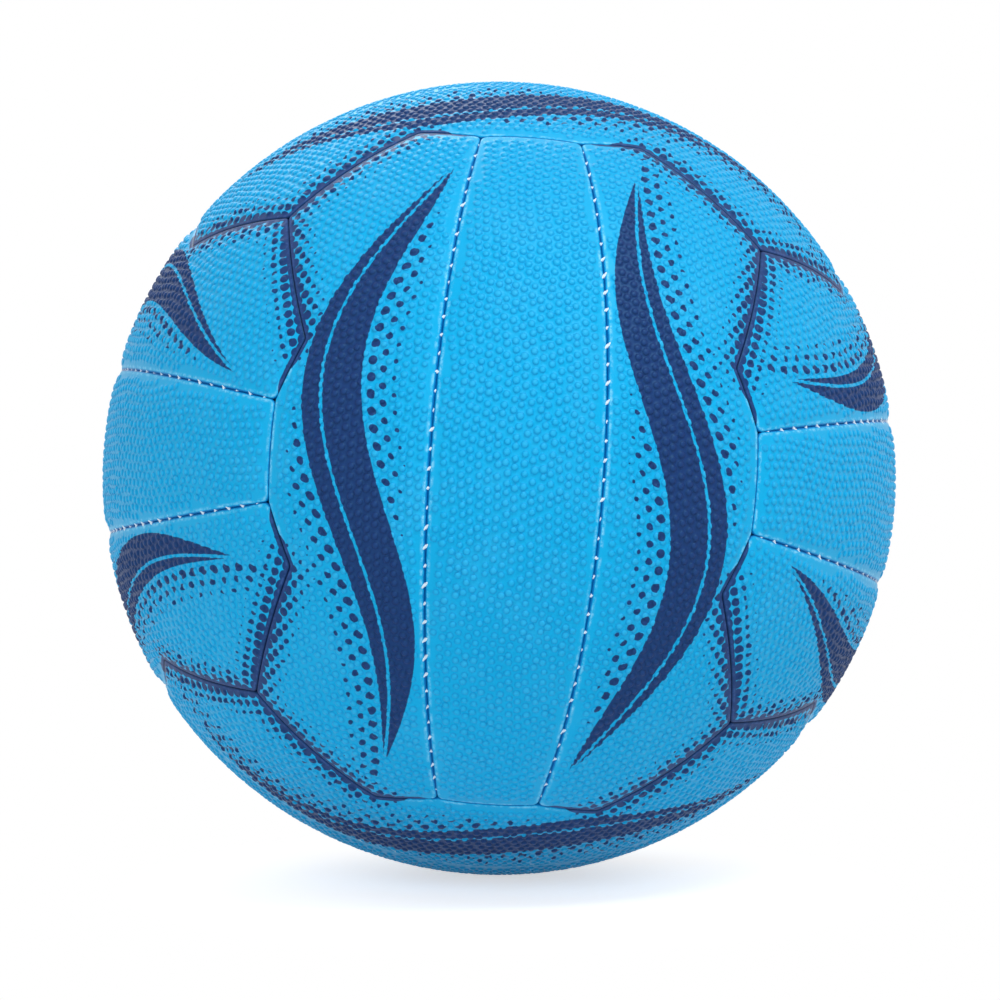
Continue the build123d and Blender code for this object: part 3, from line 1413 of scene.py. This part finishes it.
    def mesh(self, name: str) -> Mesh:
        """Builds the panel.

        Args:
            name: the mesh's name.

        Returns:
            The mesh in the panel's own layout.
        """
        edge = self.edge_rings()
        self.join_rings(edge, self.WALL_BAND)
        skin_loops, ceiling_loops = [edge[-1]], [edge[0]]
        if self.holed:
            rim = self.rim_rings()
            self.join_rings(rim, self.RIM_BAND)
            skin_loops.append(rim[0])
            ceiling_loops.append(rim[-1])
        self.fill(skin_loops, self.pimple_points(), self.SKIN_BAND, True)
        self.fill(ceiling_loops, self.ceiling_points(), self.CEILING_BAND, False)
        directions = np.vstack(self.directions)
        points = directions * np.concatenate(self.heights)[:, None]
        mesh = triangle_mesh(name, points, np.vstack(self.triangles))
        bake_map = mesh.uv_layers.new(name=self.BAKE_MAP)
        bake_map.data.foreach_set("uv", np.vstack(self.bake_places).astype(np.float32).ravel())
        place = np.column_stack([self.strip.flat(directions), np.concatenate(self.seams)])
        carried = mesh.attributes.new(self.PLACE, "FLOAT_VECTOR", "POINT")
        carried.data.foreach_set("vector", place.astype(np.float32).ravel())
        carried = mesh.attributes.new(self.PIMPLE, "FLOAT", "POINT")
        carried.data.foreach_set("value", np.concatenate(self.pimples).astype(np.float32))
        return mesh


@dataclass
class Cover:
    """The eighteen cover panels, three to a face."""

    pattern: SeamPattern
    sizes: CoverSizes
    grain: PimpleGrain = PimpleGrain()
    plain_finish: CoverFinish = CoverFinish("plain_cover")
    printed_finish: CoverFinish = CoverFinish("printed_cover", printing=WavePrint())

    def outer_tilt(self) -> float:
        """Angle from a face's middle to an outer strip's middle line."""
        x, _ = self.pattern.junction()
        return (math.radians(self.pattern.long_seam) + math.atan(1 / x)) / 2

    def build(self) -> list[Object]:
        """Builds every panel in its place.

        Returns:
            The panels.
        """
        pattern, shared = self.pattern, (self.sizes, self.grain)
        centre = (pattern.centre_outline(), pattern.CENTRE_LONG_SIDES, 0.0, *shared)
        outer = (pattern.outer_outline(), pattern.OUTER_LONG_SIDES, self.outer_tilt(), *shared)
        plain = PanelSkin(*centre).mesh("centre_layout")
        holed = PanelSkin(*centre, holed=True).mesh("valve_layout")
        printed = PanelSkin(*outer).mesh("outer_layout")
        plain_look = (self.plain_finish.material(), "centre_cover")
        printed_look = (self.printed_finish.material(), "printed_cover")
        panels = []
        for face in Face:
            first, second = face.neighbours
            strips = [("centre", holed if face is VALVE_FACE else plain, False, plain_look)]
            strips += [(first, printed, False, printed_look), (second, printed, True, printed_look)]
            for strip, layout, turned, look in strips:
                node = f"{face.label}_{strip}_panel"
                name = f"cover_{node}"
                panel = placed_copy(layout, name, face.placing(turned))
                panels.append(cover_piece(name, node, panel, *look))
        for layout in (plain, holed, printed):
            bpy.data.meshes.remove(layout)
        return panels


@dataclass
class Stitching:
    """The sewing thread in every seam: bridging stitches and a strand behind each turned edge."""

    pattern: SeamPattern
    radius: float
    finish: ThreadFinish = ThreadFinish()
    pitch: float = 5.1
    end_margin: float = 4.0
    strand_offset: float = 1.66
    strand_depth: float = 1.85
    strand_radius: float = 0.25
    strand_step: float = 3.0
    strand_overhang: float = 1.0
    least_steps: int = 4
    shown_crown: float = 1.68
    hidden_crown: float = 2.15
    slant: float = -0.9
    slant_spread: float = 0.4
    depth_spread: float = 0.1
    seed: int = 7
    arch: float = 2.2
    ply_radius: float = 0.32
    ply_spread: float = 0.2
    ply_turns: float = 1.5
    plies: int = 2
    stitch_spans: int = 12
    sides: int = 8

    def tube(self, path: np.ndarray, radius: float) -> tuple[np.ndarray, np.ndarray]:
        """Sweeps a round tube with closed ends along a path.

        Args:
            path: points of the tube's middle line.
            radius: the tube's radius.

        Returns:
            The tube's points and triangles.
        """
        forward = unit(np.gradient(path, axis=0))
        up = unit(path)
        side = unit(np.cross(forward, up))
        up = np.cross(side, forward)
        around = np.linspace(0, 2 * math.pi, self.sides, endpoint=False)
        rings = path[:, None] + radius * (
            np.cos(around)[None, :, None] * side[:, None] + np.sin(around)[None, :, None] * up[:, None]
        )
        points = np.vstack([rings.reshape(-1, 3), path[:1], path[-1:]])
        ring = np.arange(self.sides)
        after = (ring + 1) % self.sides
        rows = np.arange(len(path) - 1)[:, None] * self.sides
        here, following = (rows + ring).ravel(), (rows + after).ravel()
        walls = [
            np.column_stack([here, following + self.sides, following]),
            np.column_stack([here, here + self.sides, following + self.sides]),
        ]
        first, last = len(points) - 2, len(points) - 1
        far = (len(path) - 1) * self.sides
        caps = [
            np.column_stack([np.full(self.sides, first), ring, after]),
            np.column_stack([np.full(self.sides, last), after + far, ring + far]),
        ]
        return points, np.vstack(walls + caps)

    def stitch_turns(self, seam_angle: float) -> np.ndarray:
        """Spaces the stitches along a seam.

        Args:
            seam_angle: the seam's length as an angle.

        Returns:
            The stitches' angles from the seam's start.
        """
        margin = self.end_margin / self.radius
        spans = max(1, round((seam_angle - 2 * margin) / (self.pitch / self.radius)))
        return np.linspace(margin, seam_angle - margin, spans + 1)

    def stitch_paths(
        self, radial: np.ndarray, across: np.ndarray, crown: float, draw: np.random.Generator
    ) -> list[np.ndarray]:
        """Paths of the twisted plies of one stitch.

        Args:
            radial: unit direction of the stitch from the ball's centre.
            across: unit direction across the seam.
            crown: depth of the stitch's top below the ball's outside.
            draw: source of the small differences between stitches.

        Returns:
            One path per ply.
        """
        share = np.linspace(-1, 1, self.stitch_spans + 1)
        crown += draw.normal(0, self.depth_spread)
        slant = self.slant + draw.normal(0, self.slant_spread)
        depth = crown + (self.strand_depth - crown) * np.abs(share) ** self.arch
        along = np.cross(across, radial)
        middle = np.outer(self.radius - depth, radial) + np.outer(share * self.strand_offset, across)
        middle += np.outer(slant * np.sin(share * math.pi / 2), along)
        paths = []
        for ply in range(self.plies):
            twist = math.pi * self.ply_turns * share + 2 * math.pi * ply / self.plies
            sway = np.outer(np.cos(twist), along) + np.outer(np.sin(twist), radial)
            paths.append(middle + self.ply_spread * sway)
        return paths

    def seam_tubes(
        self, start: np.ndarray, end: np.ndarray, crown: float
    ) -> list[tuple[np.ndarray, np.ndarray]]:
        """Builds the stitches and strands of one straight run of seam.

        Args:
            start: unit direction of the run's start.
            end: unit direction of its end.
            crown: depth of the stitches' tops below the ball's outside.

        Returns:
            Points and triangles of each tube.
        """
        across = unit(np.cross(start, end))
        forward = np.cross(across, start)
        seam_angle = math.acos(np.clip(start @ end, -1, 1))
        turns = self.stitch_turns(seam_angle)
        draw = np.random.default_rng(self.seed)
        tubes = []
        for turn in turns:
            radial = math.cos(turn) * start + math.sin(turn) * forward
            paths = self.stitch_paths(radial, across, crown, draw)
            tubes += [self.tube(path, self.ply_radius) for path in paths]
        overhang = self.strand_overhang / self.radius
        reach = turns[-1] - turns[0] + 2 * overhang
        steps = max(self.least_steps, math.ceil(reach * self.radius / self.strand_step))
        sweep = np.linspace(turns[0] - overhang, turns[-1] + overhang, steps)
        line = np.outer(np.cos(sweep), start) + np.outer(np.sin(sweep), forward)
        for side in (1, -1):
            path = line * (self.radius - self.strand_depth) + side * self.strand_offset * across
            tubes.append(self.tube(path, self.strand_radius))
        return tubes

    def mesh(self, name: str, seam: np.ndarray, placings: list[np.ndarray], crown: float) -> Mesh:
        """Builds the thread of a seam, at each of its places.

        Args:
            name: the mesh's name.
            seam: unit directions along the seam in a panel's own layout.
            placings: turns from that layout to the ball.
            crown: depth of the stitches' tops below the ball's outside.

        Returns:
            The mesh.
        """
        points, triangles, count = [], [], 0
        for placing in placings:
            for start, end in zip(seam, seam[1:]):
                for tube_points, tube_triangles in self.seam_tubes(placing @ start, placing @ end, crown):
                    points.append(tube_points)
                    triangles.append(tube_triangles + count)
                    count += len(tube_points)
        return triangle_mesh(name, np.vstack(points), np.vstack(triangles))

    def build(self) -> list[Object]:
        """Builds the thread of every seam.

        Returns:
            The threads.
        """
        material = self.finish.material()
        threads = []
        for face in Face:
            both = [face.placing(), face.placing(turned=True)]
            long_seam, edge_seam = self.pattern.long_seam_line(), self.pattern.edge_seam_line()
            seams = {f"{face.label}_strip_thread": (long_seam, both, self.shown_crown)}
            for neighbour, placing in zip(face.neighbours, both):
                node = f"{face.label}_{neighbour}_edge_thread"
                seams[node] = (edge_seam, [placing], self.hidden_crown)
            for node, seam in seams.items():
                name = f"sewn_{node}"
                threads.append(cover_piece(name, node, self.mesh(name, *seam), material, "thread"))
        return threads


@dataclass
class InnerLayers:
    """The woven lining, the bladder and the valve, whose shapes come from the frame."""

    lining: LiningFinish = LiningFinish()
    bladder: RubberFinish = RubberFinish("bladder_rubber", painted(28, 28, 30), painted(58, 58, 60))
    housing: RubberFinish = RubberFinish("valve_rubber", painted(24, 26, 30), painted(52, 54, 58))
    core: RubberFinish = RubberFinish(
        "valve_core_rubber", painted(40, 42, 46), painted(72, 74, 78), roughness=0.5
    )

    def dress(self, nodes: dict[str, Object]) -> list[str]:
        """Gives each inner node its finish.

        Args:
            nodes: the frame's nodes by name.

        Returns:
            The names of the nodes that were dressed.
        """
        single = {"bladder": self.bladder, "valve_housing": self.housing, "valve_core": self.core}
        finishes = {name: finish.material() for name, finish in single.items()}
        cloth = self.lining.material()
        finishes |= {name: cloth for name in nodes if name.endswith("_lining")}
        for name, material in finishes.items():
            nodes[name].data.materials.clear()
            nodes[name].data.materials.append(material)
        return sorted(finishes)


@dataclass(frozen=True)
class SoftBox:
    """A square soft light that faces the ball: where it hangs, its side in metres and its watts."""

    name: str
    place: tuple[float, float, float]
    size: float
    power: float

    def hang(self) -> None:
        """Hangs the light."""
        light = bpy.data.lights.new(self.name, "AREA")
        light.shape = "SQUARE"
        light.size = self.size
        light.energy = self.power
        lamp = bpy.data.objects.new(self.name, light)
        lamp.location = self.place
        lamp.rotation_euler = (-Vector(self.place)).to_track_quat("-Z", "Y").to_euler()
        bpy.context.scene.collection.objects.link(lamp)


@dataclass
class Studio:
    """A white sweep, soft lights and the camera, in metres."""

    radius: float
    floor: FloorFinish = FloorFinish("studio_floor", shadow_room=(-1.0, 0.0))
    board: FloorFinish = FloorFinish("shadow_board", shadow_room=(0.02, 0.11))
    floor_reach: float = 6.0
    floor_drop: float = 0.04
    board_reach: float = 0.12
    board_forward: float = 0.03
    board_tilt: Pair = (6.0, -3.82)
    sheet_sides: int = 64
    camera_distance: float = 12.0
    camera_turn: tuple[float, float, float] = (-1.97, 3.82, 2.41)
    image_size: float = 1000.0
    ball_pixel_radius: float = 397.0
    ball_pixel_middle: Pair = (499.2, 478.2)
    sensor: float = 36.0
    view_reach: float = 100.0
    sky: float = 0.68
    lights: tuple[SoftBox, ...] = (
        SoftBox("overhead_light", (0.42, -0.8, 1.4), 0.5, 13.0),
        SoftBox("front_light", (-0.4, -1.9, 0.42), 1.2, 9.0),
        SoftBox("back_light", (-0.4, 1.2, 1.3), 0.7, 10.0),
    )

    def build(self) -> None:
        """Sets up the whole studio."""
        self.lay_floor()
        self.light()
        self.place_camera()

    def lay_floor(self) -> None:
        """Lays a wide floor, and on it the board that the ball stands on, level in the photograph."""
        wide = self.sheet("studio_floor", self.floor_reach, self.floor)
        wide.location = (0.0, 0.0, -self.radius - self.floor_drop)
        board = self.sheet("shadow_board", self.board_reach, self.board)
        forward_lean, side_lean = (math.radians(angle) for angle in self.board_tilt)
        turn = Matrix.Rotation(side_lean, 4, "Y") @ Matrix.Rotation(forward_lean, 4, "X")
        board.matrix_world = turn @ Matrix.Translation((0.0, -self.board_forward, -self.radius))

    def sheet(self, name: str, reach: float, finish: FloorFinish) -> Object:
        """Cuts a round sheet of floor.

        Args:
            name: the sheet's name.
            reach: its radius.
            finish: its material.

        Returns:
            The sheet, flat about the origin.
        """
        around = [2 * math.pi * side / self.sheet_sides for side in range(self.sheet_sides)]
        rim = [(reach * math.cos(turn), reach * math.sin(turn), 0.0) for turn in around]
        mesh = bpy.data.meshes.new(name)
        mesh.from_pydata(rim, [], [tuple(range(self.sheet_sides))])
        sheet = mesh_object(name, mesh, finish.material())
        return sheet

    def light(self) -> None:
        """Hangs the soft lights and sets the white surroundings."""
        for light in self.lights:
            light.hang()
        world = bpy.data.worlds.new("white_surroundings")
        bpy.context.scene.world = world
        world.use_nodes = True
        nodes, links = world.node_tree.nodes, world.node_tree.links
        seen = nodes.new("ShaderNodeMath")
        seen.operation = "MULTIPLY_ADD"
        links.new(background_rays(world.node_tree), seen.inputs[0])
        seen.inputs[1].default_value = 1.0 - self.sky
        seen.inputs[2].default_value = self.sky
        background = nodes["Background"]
        background.inputs["Color"].default_value = WHITE
        links.new(seen.outputs[0], background.inputs["Strength"])

    def place_camera(self) -> None:
        """Puts the camera where the photograph was taken from."""
        turn = Vector([math.radians(angle) for angle in self.camera_turn])
        to_part = Matrix.Rotation(turn.length, 3, turn.normalized()).transposed()
        facing = Matrix(((1, 0, 0), (0, 0, -1), (0, 1, 0)))
        data = bpy.data.cameras.new("photo_camera")
        sight = self.ball_pixel_radius * math.sqrt(self.camera_distance**2 - 1) / self.image_size
        data.sensor_width = self.sensor
        data.lens = self.sensor * sight
        data.shift_x = 0.5 - self.ball_pixel_middle[0] / self.image_size
        data.shift_y = self.ball_pixel_middle[1] / self.image_size - 0.5
        data.clip_end = self.view_reach
        camera = bpy.data.objects.new("photo_camera", data)
        camera.matrix_world = (to_part @ facing).to_4x4()
        camera.location = to_part @ Vector((0, -self.camera_distance * self.radius, 0))
        bpy.context.scene.collection.objects.link(camera)
        bpy.context.scene.camera = camera


def main() -> None:
    """Builds the netball's looks around its frame."""
    logging.basicConfig(level=logging.INFO, format="%(name)s: %(message)s")
    for leftover in list(bpy.data.objects):
        bpy.data.objects.remove(leftover)
    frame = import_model()
    bpy.context.scene.view_settings.view_transform = "Standard"
    radius = -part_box("front_centre_panel")[0].y
    pattern = SeamPattern()
    for panel in Cover(pattern, CoverSizes(radius / MILLIMETRE)).build():
        LOG.info("panel %s, %d faces", panel.name, len(panel.data.polygons))
    for thread in Stitching(pattern, radius / MILLIMETRE).build():
        LOG.info("thread %s, %d faces", thread.name, len(thread.data.polygons))
    for name in InnerLayers().dress(frame["nodes"]):
        LOG.info("inner layer %s", name)
    Studio(radius).build()


if __name__ == "__main__":
    main()
